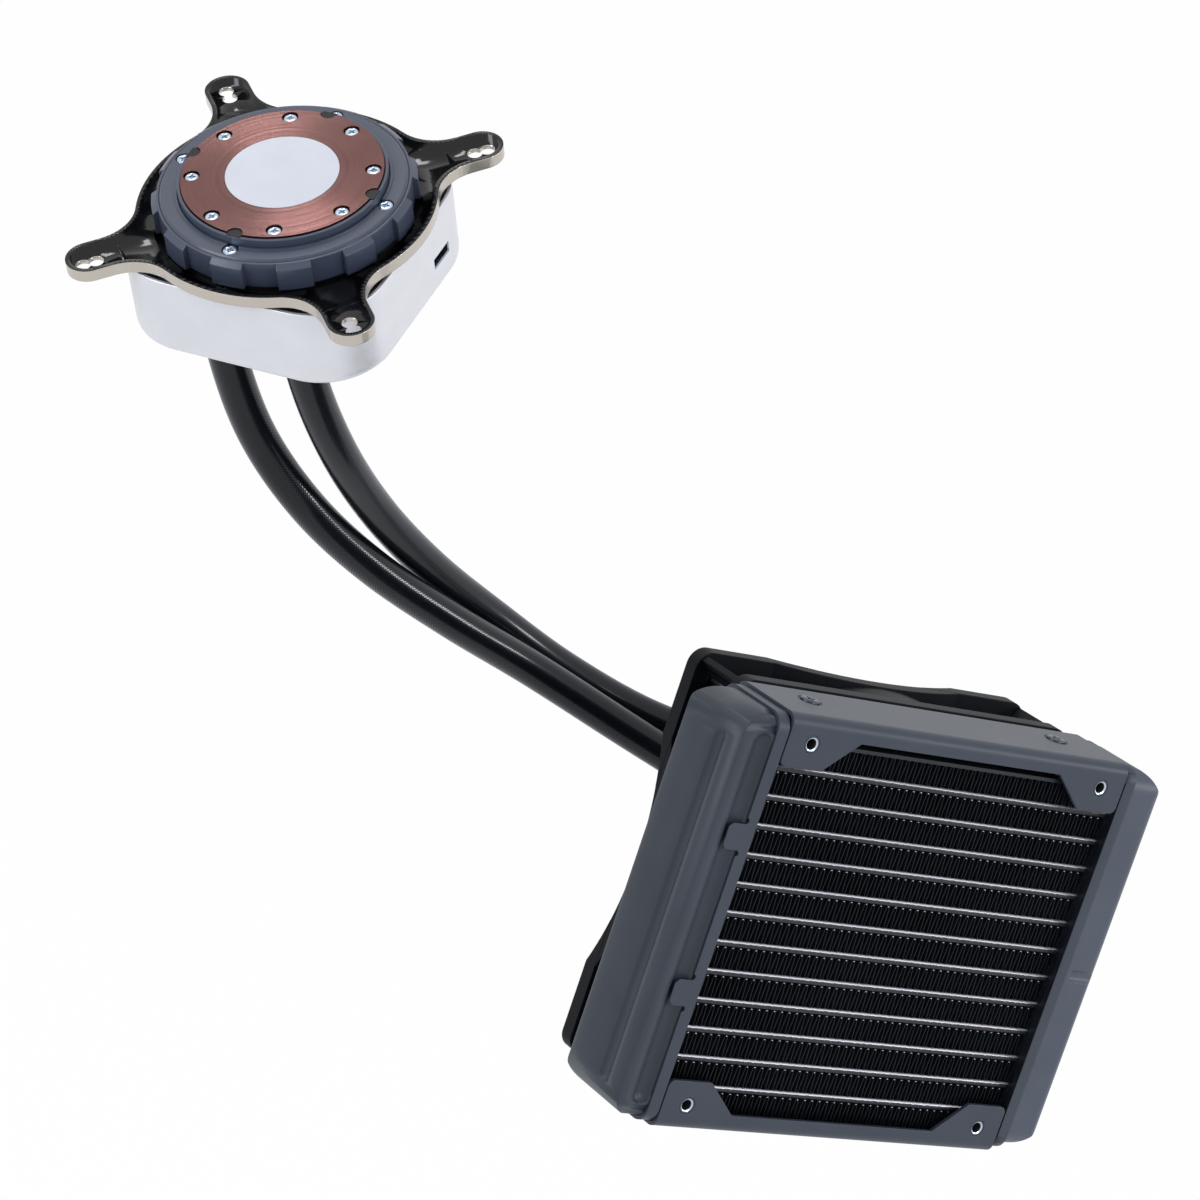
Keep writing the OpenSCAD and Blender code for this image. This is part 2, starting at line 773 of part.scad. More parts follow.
// Neck, deck and pump housing in one moulding
module head_body() {
    land_r = plate_r + 0.8;
    color(black) in_head() difference() {
        union() {
            translate([0, 0, deck_top]) cylinder(h = ring_top - ring_t - deck_top, r = neck_r);
            translate([0, 0, deck_top]) cylinder(h = -plate_t - deck_top, r = land_r);
            translate([0, 0, deck_top - deck_t]) linear_extrude(deck_t)
                skirt_shape(skirt_t + fit_gap);
            translate([0, 0, housing_low])
                cylinder(h = deck_top - housing_low, r = housing_r);
            for (i = [0 : 3]) rotate(90 * i) translate([plate_r, 0, -plate_t - post_foot])
                cylinder(h = plate_t + post_foot - seat_gap, r = post_r);
            box([housing_r - 6, port_v - port_w / 2 - 1, port_z - port_h / 2 - 1.2],
                [skirt_w / 2 - skirt_t - fit_gap, port_v + port_w / 2 + 1, port_z - port_h / 2]);
        }
        for (i = [0 : 3]) rotate(90 * i)
            translate([plate_r + 0.9, -3, -plate_t - post_foot - fit_gap]) cube([6, 6, 6]);
        translate([0, 0, -7.4]) cylinder(h = 8, r = 17.5);
        ring(plate_r - 7.4, plate_r - 5, -plate_t - 0.8, 0);
        translate([0, 0, chamber_low]) cylinder(h = chamber_top - chamber_low, r = chamber_r);
        translate([0, 0, chamber_top - 1]) cylinder(h = 4, r = 5);
        translate([0, 0, magnet_low - 1]) cylinder(h = 14, r = magnet_r + 0.6);
        translate([0, 0, housing_low - 1]) ring(magnet_r + 1.8, magnet_r + 7.6, 0,
            chamber_low - 1.6 - housing_low + 1);
        translate([0, 0, magnet_low - 3]) cylinder(h = 10, r = shaft_r);
        at_plate_screws() translate([0, 0, -10]) cylinder(h = 12, r = 1.2 + run_gap);
        at_ring_screws() translate([0, 0, -12]) cylinder(h = 14, r = 1.2 + run_gap);
    }
}

// Castellated collar: teeth and valleys of equal width round a plain ring
module tooth(step) {
    intersection() {
        circle(collar_r + 1);
        polygon([[0, 0], [2 * collar_r, 0], 2 * collar_r * [cos(step / 2), sin(step / 2)]]);
    }
}

module lock_collar() {
    step = 360 / tooth_n;
    color(coat) in_head() difference() {
        intersection() {
            translate([0, 0, collar_low]) linear_extrude(collar_top - collar_low) {
                circle(valley_r);
                for (i = [0 : tooth_n - 1]) rotate(i * step - 6) tooth(step);
            }
            rotate_extrude() polygon([[0, collar_low], [collar_r, collar_low],
                [collar_r, collar_top - 1.2], [collar_r - 1.6, collar_top], [0, collar_top]]);
        }
        translate([0, 0, collar_low - 1]) cylinder(h = 12, r = collar_in);
    }
}

module retainer_ring() {
    low = ring_top - ring_t;
    color(coat) in_head() difference() {
        rotate_extrude() polygon([[ring_in, low], [ring_out, low], [ring_out, ring_top - 0.6],
            [ring_out - 0.6, ring_top], [ring_in + 0.9, ring_top], [ring_in + 0.9, ring_top + 0.3],
            [ring_in, ring_top + 0.3]]);
        at_ring_screws() {
            translate([0, 0, ring_top - 1.2]) cylinder(h = 3, r = 2.2);
            translate([-4, -1.6, ring_top - 1.2]) cube([4, 3.2, 3]);
            translate([0, 0, low - 1]) cylinder(h = 6, r = 1.2 + run_gap);
        }
    }
}

module cold_plate() {
    color(copper) in_head() {
        difference() {
            translate([0, 0, -plate_t]) cylinder(h = plate_t, r = plate_r, $fn = 96);
            for (i = [0 : 3]) rotate(90 * i) translate([plate_r, 0, -plate_t - 1])
                cylinder(h = plate_t + 2, r = post_r + fit_gap);
            at_plate_screws() {
                translate([0, 0, -plate_t - 1]) cylinder(h = plate_t + 2, r = 1.2 + fit_gap);
                translate([0, 0, -1.6]) cylinder(h = 2, r = 2.2);
            }
        }
        for (i = [-5 : 5]) translate([i * 2.1, 0, -plate_t - 1.3])
            cube([0.9, 22, 2.7], center = true);
    }
}

module plate_gasket() {
    color([0.08, 0.08, 0.08]) in_head()
        ring(plate_r - 7.3, plate_r - 5.1, -plate_t - 0.75, -plate_t - 0.05);
}

module thermal_paste() {
    color([0.86, 0.87, 0.90]) in_head() cylinder(h = 0.15, r = paste_r, $fn = 96);
}

module small_screw(head_r, head_h, l) {
    difference() {
        union() {
            translate([0, 0, -head_h]) cylinder(h = head_h, r = head_r);
            translate([0, 0, -l]) cylinder(h = l, r = 1.2);
        }
        for (a = [0, 90]) rotate(a) translate([-head_r * 0.6, -0.25, -0.6])
            cube([head_r * 1.2, 0.5, 1]);
    }
}

module plate_screws() {
    color(steel) in_head() at_plate_screws() translate([0, 0, -0.3]) small_screw(1.95, 1.3, 9);
}

module ring_screws() {
    color(steel) in_head() at_ring_screws() translate([0, 0, ring_top])
        small_screw(2, 1.2, 8);
}

// Outline of the four-arm bracket, drawn inset by t, with true arcs in the corners
module bracket_shape(t) {
    f = 13;
    reach = slot_pitch / sqrt(2);
    c = [sqrt((bracket_r + f) * (bracket_r + f) - (arm_w + f) * (arm_w + f)), arm_w + f];
    circle(bracket_r - t, $fn = 96);
    for (a = [45 : 90 : 315]) rotate(a) {
        translate([0, t - arm_w]) square([reach, 2 * (arm_w - t)]);
        translate([reach, 0]) circle(arm_w - t);
        for (s = [0, 1]) mirror([0, s]) difference() {
            polygon([[0, 0], c, [c.x, arm_w - t]]);
            translate(c) circle(f + t, $fn = 96);
        }
    }
}

module bracket() {
    reach = slot_pitch / sqrt(2);
    step = 360 / tooth_n;
    inner = collar_r + 0.7;
    color([0.16, 0.16, 0.18]) in_head() translate([0, 0, bracket_low]) difference() {
        union() {
            difference() {
                linear_extrude(bracket_h) bracket_shape(0);
                translate([0, 0, bracket_t]) linear_extrude(bracket_h) bracket_shape(bracket_t);
                translate([0, 0, -1]) cylinder(h = bracket_h + 2, r = inner);
            }
            for (i = [0 : tooth_n - 1]) rotate(i * step - 6 + step * 0.06)
                rotate_extrude(angle = step * 0.38)
                translate([tab_in + 0.6, 0]) square([inner - tab_in + 0.4, bracket_t]);
        }
        for (a = [45 : 90 : 315], d = [-lobe, lobe]) rotate(a) translate([reach + d * sqrt(2), 0, -1])
            cylinder(h = bracket_h + 2, r = slot_r);
    }
}

module impeller() {
    color([0.75, 0.75, 0.72]) in_head() difference() {
        union() {
            translate([0, 0, chamber_low + 0.8]) cylinder(h = 1.4, r = chamber_r - 1.2);
            translate([0, 0, magnet_low]) cylinder(h = chamber_low + 1 - magnet_low, r = magnet_r);
            for (i = [0 : 5]) rotate(60 * i) translate([3.2, -0.6, chamber_low + 2])
                cube([chamber_r - 5, 1.2, 3.6]);
            translate([0, 0, chamber_low + 1]) cylinder(h = 5, r = 3.6);
        }
        translate([0, 0, magnet_low - 1]) cylinder(h = 20, r = shaft_r + run_gap);
    }
}

module impeller_shaft() {
    color([0.9, 0.9, 0.88]) in_head() translate([0, 0, magnet_low - 3])
        cylinder(h = chamber_top - magnet_low + 2, r = shaft_r);
}

module head_stator() {
    color(copper) in_head() translate([0, 0, housing_low + 0.6])
        ring(magnet_r + 1.9, magnet_r + 7.5, 0, chamber_low - 1.8 - housing_low - 0.6);
}

module head_board() {
    color([0.10, 0.28, 0.18]) in_head() translate([0, 0, housing_low - board_t - 0.1])
        difference() {
        linear_extrude(board_t) round_rect(52, 60, 8);
        for (s = [-1, 1]) translate([s * stem_pitch / 2, stem_v, -1])
            cylinder(h = board_t + 2, r = 5.8);
    }
}

// Socket shell on its shelf, open to the outside
module port_shell() {
    wall = 0.35;
    out = skirt_w / 2 - 0.2;
    color(steel) in_head() translate([out - port_l, port_v, port_z]) difference() {
        translate([0, -port_w / 2, -port_h / 2]) cube([port_l, port_w, port_h]);
        translate([wall, wall - port_w / 2, wall - port_h / 2])
            cube([port_l, port_w - 2 * wall, port_h - 2 * wall]);
    }
}

module port_tongue() {
    out = skirt_w / 2 - 0.2;
    color(black) in_head() translate([out - port_l + 0.35, port_v - port_w / 2 + 1.4, port_z - 0.4])
        cube([port_l - 1.6, port_w - 2.8, 0.8]);
}

core_tubes();
core_fins();
core_bars();
header_left();
header_right();
tank_left();
tank_right();
side_plate_top();
side_plate_bottom();
threaded_inserts();
plate_rivets();
tank_fitting_a();
tank_fitting_b();
hose_ferrules();
hose_a();
hose_b();
fan_frame();
fan_rotor();
fan_magnet();
fan_shaft();
fan_bearing();
fan_stator();
fan_board();
fan_screws();
head_skirt();
head_cap();
head_body();
lock_collar();
retainer_ring();
cold_plate();
plate_gasket();
thermal_paste();
plate_screws();
ring_screws();
bracket();
impeller();
impeller_shaft();
head_stator();
head_board();
port_shell();
port_tongue();
head_stem_a();
head_stem_b();
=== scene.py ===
# All-in-one liquid cooler: the looks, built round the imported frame.
# Sizes in this file are millimetres, and are made metres when a mesh is built.
import math

import bmesh
import bpy
from mathutils import Matrix, Vector


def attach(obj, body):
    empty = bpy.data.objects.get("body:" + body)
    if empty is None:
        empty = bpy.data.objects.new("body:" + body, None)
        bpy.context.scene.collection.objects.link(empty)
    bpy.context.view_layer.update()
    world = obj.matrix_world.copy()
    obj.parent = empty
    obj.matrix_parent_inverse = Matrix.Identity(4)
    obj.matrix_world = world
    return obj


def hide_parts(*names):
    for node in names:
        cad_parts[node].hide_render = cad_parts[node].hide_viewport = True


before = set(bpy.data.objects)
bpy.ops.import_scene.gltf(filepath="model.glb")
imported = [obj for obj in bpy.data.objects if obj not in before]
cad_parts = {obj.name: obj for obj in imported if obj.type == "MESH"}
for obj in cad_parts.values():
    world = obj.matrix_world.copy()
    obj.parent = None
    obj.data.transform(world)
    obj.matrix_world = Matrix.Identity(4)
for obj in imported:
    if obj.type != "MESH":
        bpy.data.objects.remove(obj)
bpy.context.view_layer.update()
scene = bpy.context.scene
mm = 0.001

# The pump head's own frame: copper face at 0, copper side up
headPlace = Matrix.Translation((-182.6, 126.6, 149.0)) @ (
    Matrix.Rotation(math.radians(-55.6), 4, "Z")
    @ Matrix.Rotation(math.radians(-7.25), 4, "Y")
    @ Matrix.Rotation(math.radians(37.5), 4, "X"))
headUp = (headPlace.to_3x3() @ Vector((0, 0, 1))).normalized()
headCentre = Vector((-182.6, 126.6, 149.0)) * mm
alongFan = Matrix.Rotation(math.radians(-90), 4, "X")   # local z becomes the row's +Y


# node trees written as expressions

class Value:
    # Wraps a socket, so that sums on it add their Math nodes
    def __init__(self, owner, socket):
        self.owner, self.socket = owner, socket

    def math(self, kind, *others):
        return self.owner.node("ShaderNodeMath", {"operation": kind}, (self,) + others)

    def __add__(self, other):
        return self.math("ADD", other)

    __radd__ = __add__

    def __mul__(self, other):
        return self.math("MULTIPLY", other)

    __rmul__ = __mul__

    def __sub__(self, other):
        return self.math("SUBTRACT", other)

    def __rsub__(self, other):
        return self.owner.node("ShaderNodeMath", {"operation": "SUBTRACT"}, (other, self))

    def __truediv__(self, other):
        return self.math("DIVIDE", other)

    def __gt__(self, other):
        return self.math("GREATER_THAN", other)

    def __lt__(self, other):
        return self.math("LESS_THAN", other)


class Tree:
    def __init__(self, tree):
        self.tree = tree

    def node(self, kind, settings=None, sockets=(), out=0):
        made = self.tree.nodes.new(kind)
        for key, value in (settings or {}).items():
            if key == "stops":
                ramp = made.color_ramp.elements
                for i, (place, shade) in enumerate(value):
                    stop = ramp[i] if i < 2 else ramp.new(place)
                    stop.position, stop.color = place, shade
            else:
                setattr(made, key, value)
        pairs = sockets.items() if isinstance(sockets, dict) else enumerate(sockets)
        for key, value in pairs:
            if isinstance(value, Value):
                self.tree.links.new(value.socket, made.inputs[key])
            elif value is not None:
                made.inputs[key].default_value = value
        return Value(self, made.outputs[out]) if made.outputs else None

    def mixColour(self, factor, first, second, kind="MIX"):
        return self.node("ShaderNodeMix", {"data_type": "RGBA", "blend_type": kind},
                         {0: factor, 6: first, 7: second}, out=2)

    def vector(self, kind, *values, out=0):
        return self.node("ShaderNodeVectorMath", {"operation": kind}, values, out=out)


class Finish(Tree):
    # One material: fixed values go on the shader's sockets, the rest is linked by close()
    def __init__(self, name, **fixed):
        self.material = bpy.data.materials.new(name)
        self.material.use_nodes = True
        super().__init__(self.material.node_tree)
        self.tree.nodes.clear()
        self.place = self.node("ShaderNodeTexCoord", out=3)
        self.fixed = {key.replace("_", " "): value for key, value in fixed.items()}

    def noise(self, scale, detail=3.0, rough=0.5, place=None):
        return self.node("ShaderNodeTexNoise", {"noise_dimensions": "3D"},
                         {"Vector": place or self.place, "Scale": scale, "Detail": detail,
                          "Roughness": rough})

    def soft(self, radius):
        return self.node("ShaderNodeBevel", {"samples": 6}, {"Radius": radius})

    def bump(self, height, strength, distance, normal=None):
        return self.node("ShaderNodeBump", {}, {"Height": height, "Strength": strength,
                                                "Distance": distance, "Normal": normal})

    def vary(self, mask, low, high):
        return self.node("ShaderNodeMapRange", {}, {"Value": mask, "To Min": low, "To Max": high})

    def close(self, **linked):
        sockets = dict(self.fixed)
        sockets.update({key.replace("_", " "): value for key, value in linked.items()})
        shader = self.node("ShaderNodeBsdfPrincipled", {}, sockets)
        self.node("ShaderNodeOutputMaterial", {}, {"Surface": shader})
        return self.material


def rgb(r, g, b):
    # Colour as it is read off a screen, 0 to 255, made linear
    return tuple(((v / 255 + 0.055) / 1.055) ** 2.4 if v > 10 else v / 255 / 12.92
                 for v in (r, g, b)) + (1.0,)


# finishes

def coatFinish(name, shade, edge, rough=0.4, softness=0.5):
    # Satin powder coat: fine orange peel, and a cloudy tone between the shade and a slightly
    # lighter one
    f = Finish(name, IOR=1.5, Specular_IOR_Level=0.34)
    cloud = f.noise(38.0, 4.0)
    grain = f.noise(2600.0, 2.0)
    peel = f.noise(1500.0, 3.0)
    tone = f.mixColour(f.vary(cloud, -0.2, 1.2), shade, edge)
    tone = f.mixColour(0.25, tone, f.mixColour(grain, rgb(40, 44, 52), edge), "OVERLAY")
    normal = f.bump(peel, 0.16, 0.00012, f.soft(softness * mm))
    return f.close(Base_Color=tone, Roughness=f.vary(grain, rough - 0.06, rough + 0.08),
                   Normal=normal)


def plasticFinish(name, shade, rough=0.46, softness=0.25, grainSize=2200.0, depth=0.2,
                  sheen=0.3):
    # Moulded plastic with a spark-eroded grain
    f = Finish(name, IOR=1.46, Specular_IOR_Level=sheen)
    grain = f.noise(grainSize, 4.0, 0.6)
    cloud = f.noise(60.0, 2.0)
    tone = f.mixColour(f.vary(cloud, 0.0, 0.5), shade, tuple(v * 1.25 for v in shade[:3]) + (1,))
    normal = f.bump(grain, depth, 0.00008, f.soft(softness * mm))
    return f.close(Base_Color=tone, Roughness=f.vary(grain, rough - 0.08, rough + 0.1),
                   Normal=normal)


def metalFinish(name, shade, rough=0.3, softness=0.15, streak=(900.0, 900.0, 900.0), coat=0.0,
                metallic=1.0, depth=0.08):
    # Plated or bare metal: fine drawn streaks and a little unevenness in the gloss
    f = Finish(name, Metallic=metallic, Coat_Weight=coat, Coat_Roughness=0.06)
    place = f.node("ShaderNodeMapping", {}, {"Vector": f.place, "Scale": streak})
    lines = f.noise(1.0, 3.0, 0.6, place)
    cloud = f.noise(120.0, 3.0)
    tone = f.mixColour(f.vary(cloud, 0.0, 0.6), shade,
                       tuple(v * 0.82 for v in shade[:3]) + (1,))
    normal = f.bump(lines, depth, 0.00005, f.soft(softness * mm))
    return f.close(Base_Color=tone, Roughness=f.vary(lines, rough - 0.08, rough + 0.1),
                   Normal=normal)


def turnedCopper():
    # Copper turned on a lathe: fine grooves round the centre tilt the surface in and out,
    # so that light draws out into two bright sectors
    look = {"shade": rgb(120, 86, 83), "dark": rgb(100, 69, 66), "tilt": 2.0, "pitch": 5200.0}
    f = Finish("turnedCopper", Metallic=1.0)
    arm = f.vector("SUBTRACT", f.place, tuple(headCentre))
    height = f.vector("DOT_PRODUCT", arm, tuple(headUp), out=1)
    axis = f.node("ShaderNodeCombineXYZ", {}, (height * headUp.x, height * headUp.y,
                                               height * headUp.z))
    flat = f.vector("SUBTRACT", arm, axis)
    radius = f.vector("LENGTH", flat, out=1)
    outward = f.vector("NORMALIZE", flat)
    rings = f.node("ShaderNodeTexNoise", {"noise_dimensions": "1D"},
                   {"W": radius * look["pitch"], "Scale": 1.0, "Detail": 4.0, "Roughness": 0.7})
    broad = f.node("ShaderNodeTexNoise", {"noise_dimensions": "1D"},
                   {"W": radius * 900.0, "Scale": 1.0, "Detail": 2.0})
    tilt = (rings - 0.5) * look["tilt"]
    lean = f.node("ShaderNodeVectorMath", {"operation": "SCALE"}, {0: outward, 3: tilt})
    normal = f.vector("NORMALIZE", f.vector("ADD", f.soft(0.12 * mm), lean))
    cloud = f.noise(90.0, 2.0)
    tone = f.mixColour(f.vary(broad, 0.1, 0.9), look["shade"], look["dark"])
    tone = f.mixColour(cloud * 0.25, tone, rgb(140, 104, 100))
    return f.close(Base_Color=tone, Roughness=f.vary(cloud, 0.18, 0.27), Normal=normal)


def thermalPaste():
    f = Finish("thermalPaste", Specular_IOR_Level=0.3)
    fine = f.noise(3200.0, 2.0)
    cloud = f.noise(70.0, 3.0)
    tone = f.mixColour(cloud, rgb(222, 224, 233), rgb(206, 209, 221))
    return f.close(Base_Color=tone, Roughness=f.vary(fine, 0.5, 0.66),
                   Normal=f.bump(fine, 0.12, 0.00004))


def braidFinish(strandsRound, strandPitch):
    # Sleeve of flat strands that cross over and under, drawn on the hose's own map:
    # U runs along the hose in millimetres, V once round it. The crossings are glossier.
    look = {"shade": rgb(14, 16, 20), "thread": rgb(40, 44, 52), "paintedValleyShade": rgb(2, 2, 3),
            "threads": 4, "gloss": 1.0}
    f = Finish("braidedSleeve", IOR=1.5, Specular_IOR_Level=0.14, Coat_Roughness=0.14,
               Coat_Tint=rgb(214, 226, 255))
    run = f.node("ShaderNodeUVMap", {"uv_map": "sleeve"})
    parts = f.node("ShaderNodeSeparateXYZ", {}, (run,))
    along = Value(f, parts.socket.node.outputs[0])
    turn = Value(f, parts.socket.node.outputs[1])
    a = along / strandPitch + turn * strandsRound
    b = along / strandPitch - turn * strandsRound
    acrossA, acrossB = a.math("FRACT"), b.math("FRACT")
    odd = (a.math("FLOOR") + b.math("FLOOR")).math("FLOORED_MODULO", 2.0)
    ridgeA = (acrossA * math.pi).math("SINE")
    ridgeB = (acrossB * math.pi).math("SINE")
    over = odd * ridgeA * (0.35 + 0.65 * ridgeB) + (1 - odd) * ridgeB * (0.35 + 0.65 * ridgeA)
    threads = (odd * acrossA + (1 - odd) * acrossB) * (2 * math.pi * look["threads"])
    line = threads.math("SINE") * 0.5 + 0.5
    # Painted shade: the colour falls to near black in the creases where the strands dip, by the
    # same height as the bump
    tone = f.mixColour(over.math("POWER", 1.4), look["paintedValleyShade"], look["shade"])
    tone = f.mixColour(line * over * 0.5, tone, look["thread"])
    dust = f.noise(500.0, 2.0)
    return f.close(Base_Color=tone, Roughness=f.vary(dust, 0.26, 0.38),
                   Coat_Weight=over.math("POWER", 1.6) * look["gloss"],
                   Normal=f.bump(over + line * 0.05, 0.3, 0.00005))


print("stage: finishes")
coat = coatFinish("charcoalCoat", rgb(50, 58, 68), rgb(63, 71, 83), softness=0.9)
# Painted light: the right tank's copy of the charcoal coat is lighter, partly its own tone and
# partly light falling from the front right
tankCoat = coatFinish("tankCoat", rgb(74, 82, 95), rgb(89, 97, 111), softness=0.9)
plateCoat = coatFinish("plateCoat", rgb(54, 62, 75), rgb(68, 76, 90), softness=0.5)
finCoat = coatFinish("finCoat", rgb(20, 25, 32), rgb(38, 44, 53), 0.36, 0.05)
tubeMetal = metalFinish("tubeMetal", rgb(214, 210, 222), 0.38, 0.08, (300.0, 2600.0, 2600.0),
                        metallic=0.75)
zinc = metalFinish("brightZinc", rgb(186, 200, 216), 0.22, 0.1)
fanPlastic = plasticFinish("fanPlastic", rgb(10, 14, 19), 0.5, 0.5, sheen=0.14)
rotorPlastic = plasticFinish("rotorPlastic", rgb(24, 26, 32), 0.42, 0.4)
headPlastic = plasticFinish("headPlastic", rgb(13, 14, 18), 0.4)
collarPlastic = plasticFinish("collarPlastic", rgb(60, 68, 86), 0.3, 0.4, 1700.0, 0.18, 0.6)
satinSilver = metalFinish("satinSilver", rgb(226, 227, 234), 0.36, 0.25, (500.0, 500.0, 500.0),
                          metallic=0.55, depth=0.03)
blackNickel = metalFinish("blackNickel", rgb(17, 17, 20), 0.16, 0.4, coat=0.3, metallic=0.6)
# Painted reflection: a pale copy of the black nickel, for bracket walls that face the pale floor
# and backdrop
paleNickel = metalFinish("paleNickel", rgb(196, 190, 182), 0.2, 0.3)
copperFinish = turnedCopper()
pasteFinish = thermalPaste()
sleeve = braidFinish(32, 1.05)
rubber = plasticFinish("gasketRubber", rgb(20, 20, 21), 0.7, 0.1)
blackSteel = metalFinish("blackSteel", rgb(38, 40, 45), 0.36, 0.3, metallic=0.6)
bronze = metalFinish("sinteredBronze", rgb(176, 146, 96), 0.42)
magnetFinish = plasticFinish("bondedMagnet", rgb(58, 56, 55), 0.55)
winding = metalFinish("enamelledWire", rgb(176, 98, 62), 0.3, streak=(400.0, 6000.0, 400.0),
                      depth=0.5)
solderMask = plasticFinish("solderMask", rgb(20, 74, 52), 0.32)
palePlastic = plasticFinish("palePlastic", rgb(206, 204, 198), 0.35)
ceramic = plasticFinish("ceramicShaft", rgb(232, 230, 226), 0.2)
# Near black: the port's tongue is black plastic, and in the inserts' bores it is painted shade
darkBore = plasticFinish("darkBore", rgb(12, 13, 15), 0.6)
darkScrew = metalFinish("darkScrew", rgb(64, 70, 80), 0.3, 0.2, metallic=0.8)


# mesh helpers

class Shape:
    # Points in millimetres and faces with the number of their finish
    def __init__(self):
        self.points, self.faces, self.kinds = [], [], []

    def add(self, points, faces, kind=0):
        start = len(self.points)
        self.points += [Vector(p) for p in points]
        self.faces += [tuple(start + i for i in face) for face in faces]
        self.kinds += [kind] * len(faces)

    def rings(self, rings, kind=0, closed=False, ends=False):
        # Joins rings of equal counts; ends puts a face on the first and last
        n = len(rings[0])
        points = [p for ring in rings for p in ring]
        faces = []
        for i in range(len(rings) if closed else len(rings) - 1):
            j = (i + 1) % len(rings)
            for k in range(n):
                m = (k + 1) % n
                faces.append((i * n + k, i * n + m, j * n + m, j * n + k))
        if ends:
            faces.append(tuple(range(n - 1, -1, -1)))
            faces.append(tuple((len(rings) - 1) * n + k for k in range(n)))
        self.add(points, faces, kind)

    def lathe(self, profile, sides=96, kind=0, closed=True, ends=False):
        # Profile points are (radius, height), or (radius, height, lobes, depth)
        rings = []
        for r, z, *wave in profile:
            lobes, depth = wave if wave else (0, 0)
            ring = []
            for k in range(sides):
                t = 2 * math.pi * k / sides
                s = r * (1 + depth * math.cos(lobes * t))
                ring.append((s * math.cos(t), s * math.sin(t), z))
            rings.append(ring)
        self.rings(rings, kind, closed, ends)

    def box(self, low, high, kind=0):
        x0, y0, z0 = low
        x1, y1, z1 = high
        self.add([(x, y, z) for x in (x0, x1) for y in (y0, y1) for z in (z0, z1)],
                 [(0, 1, 3, 2), (4, 6, 7, 5), (0, 4, 5, 1), (2, 3, 7, 6), (0, 2, 6, 4),
                  (1, 5, 7, 3)], kind)


def meshOf(name, shape, turn=None):
    mesh = bpy.data.meshes.new(name)
    place = turn or Matrix.Identity(4)
    mesh.from_pydata([tuple((place @ p) * mm) for p in shape.points], [], shape.faces)
    mesh.polygons.foreach_set("material_index", shape.kinds)
    mesh.update()
    return mesh


def tidyMesh(mesh, angle=32):
    # Merges doubles, points every face outwards, and keeps edges sharper than the angle
    work = bmesh.new()
    work.from_mesh(mesh)
    bmesh.ops.remove_doubles(work, verts=work.verts, dist=1e-6)
    bmesh.ops.recalc_face_normals(work, faces=work.faces)
    work.to_mesh(mesh)
    work.free()
    mesh.polygons.foreach_set("use_smooth", [True] * len(mesh.polygons))
    mesh.set_sharp_from_angle(angle=math.radians(angle))


def pieceOf(name, mesh, finishes, body, hides=(), angle=32, clean=True):
    kinds = [face.material_index for face in mesh.polygons]
    mesh.materials.clear()
    for finish in finishes:
        mesh.materials.append(finish)
    mesh.polygons.foreach_set("material_index", kinds)
    if clean:
        tidyMesh(mesh, angle)
    piece = bpy.data.objects.new(name, mesh)
    scene.collection.objects.link(piece)
    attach(piece, body)
    if hides:
        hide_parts(*hides)
    return piece


def madePlain(host):
    # Bakes an object's modifiers into a plain mesh and removes the object
    bpy.context.view_layer.update()
    graph = bpy.context.evaluated_depsgraph_get()
    mesh = bpy.data.meshes.new_from_object(host.evaluated_get(graph))
    host.modifiers.clear()
    bpy.data.objects.remove(host)
    return mesh


class GeoTree(Tree):
    # A Geometry Nodes tree with named inputs, set on a modifier by their identifiers
    def __init__(self, name, inputs):
        group = bpy.data.node_groups.new(name, "GeometryNodeTree")
        super().__init__(group)
        group.interface.new_socket(name="Geometry", in_out="INPUT",
                                   socket_type="NodeSocketGeometry")
        for label, kind in inputs.items():
            group.interface.new_socket(name=label, in_out="INPUT", socket_type=kind)
        group.interface.new_socket(name="Geometry", in_out="OUTPUT",
                                   socket_type="NodeSocketGeometry")
        self.entry = group.nodes.new("NodeGroupInput")

    def given(self, label):
        return Value(self, self.entry.outputs[label])

    def end(self, geometry, material=None):
        whole = self.node("GeometryNodeRealizeInstances", {}, (geometry,))
        if material is not None:
            whole = self.node("GeometryNodeSetMaterial", {}, {"Geometry": whole,
                                                              "Material": material})
        self.node("NodeGroupOutput", {}, (whole,))

    def run(self, mesh, values):
        host = bpy.data.objects.new("host", mesh)
        scene.collection.objects.link(host)
        modifier = host.modifiers.new("grow", "NODES")
        modifier.node_group = self.tree
        known = {i.name: i.identifier for i in self.tree.interface.items_tree
                 if i.in_out == "INPUT"}
        for label, value in values.items():
            modifier[known[label]] = value
        return madePlain(host)


def copiesOnCircle():
    t = GeoTree("copiesOnCircle", {"Count": "NodeSocketInt", "Radius": "NodeSocketFloat",
                                   "First Angle": "NodeSocketFloat"})
    points = t.node("GeometryNodeMeshCircle", {}, {"Vertices": t.given("Count"),
                                                   "Radius": t.given("Radius")})
    index = t.node("GeometryNodeInputIndex")
    turn = index * (2 * math.pi) / t.given("Count")
    spin = t.node("ShaderNodeCombineXYZ", {}, (0.0, 0.0, turn))
    copies = t.node("GeometryNodeInstanceOnPoints", {}, {
        "Points": points, "Instance": t.given("Geometry"), "Rotation": spin})
    first = t.node("ShaderNodeCombineXYZ", {}, (0.0, 0.0, t.given("First Angle")))
    t.end(t.node("GeometryNodeTransform", {}, {"Geometry": copies, "Rotation": first}))
    return t


def copiesInRow():
    t = GeoTree("copiesInRow", {"Count": "NodeSocketInt", "Step": "NodeSocketVector",
                                "Start": "NodeSocketVector"})
    line = t.node("GeometryNodeMeshLine", {}, {"Count": t.given("Count"),
                                               "Start Location": t.given("Start"),
                                               "Offset": t.given("Step")})
    copies = t.node("GeometryNodeInstanceOnPoints", {}, {"Points": line,
                                                         "Instance": t.given("Geometry")})
    t.end(copies)
    return t


onCircle, inRow = copiesOnCircle(), copiesInRow()

# camera

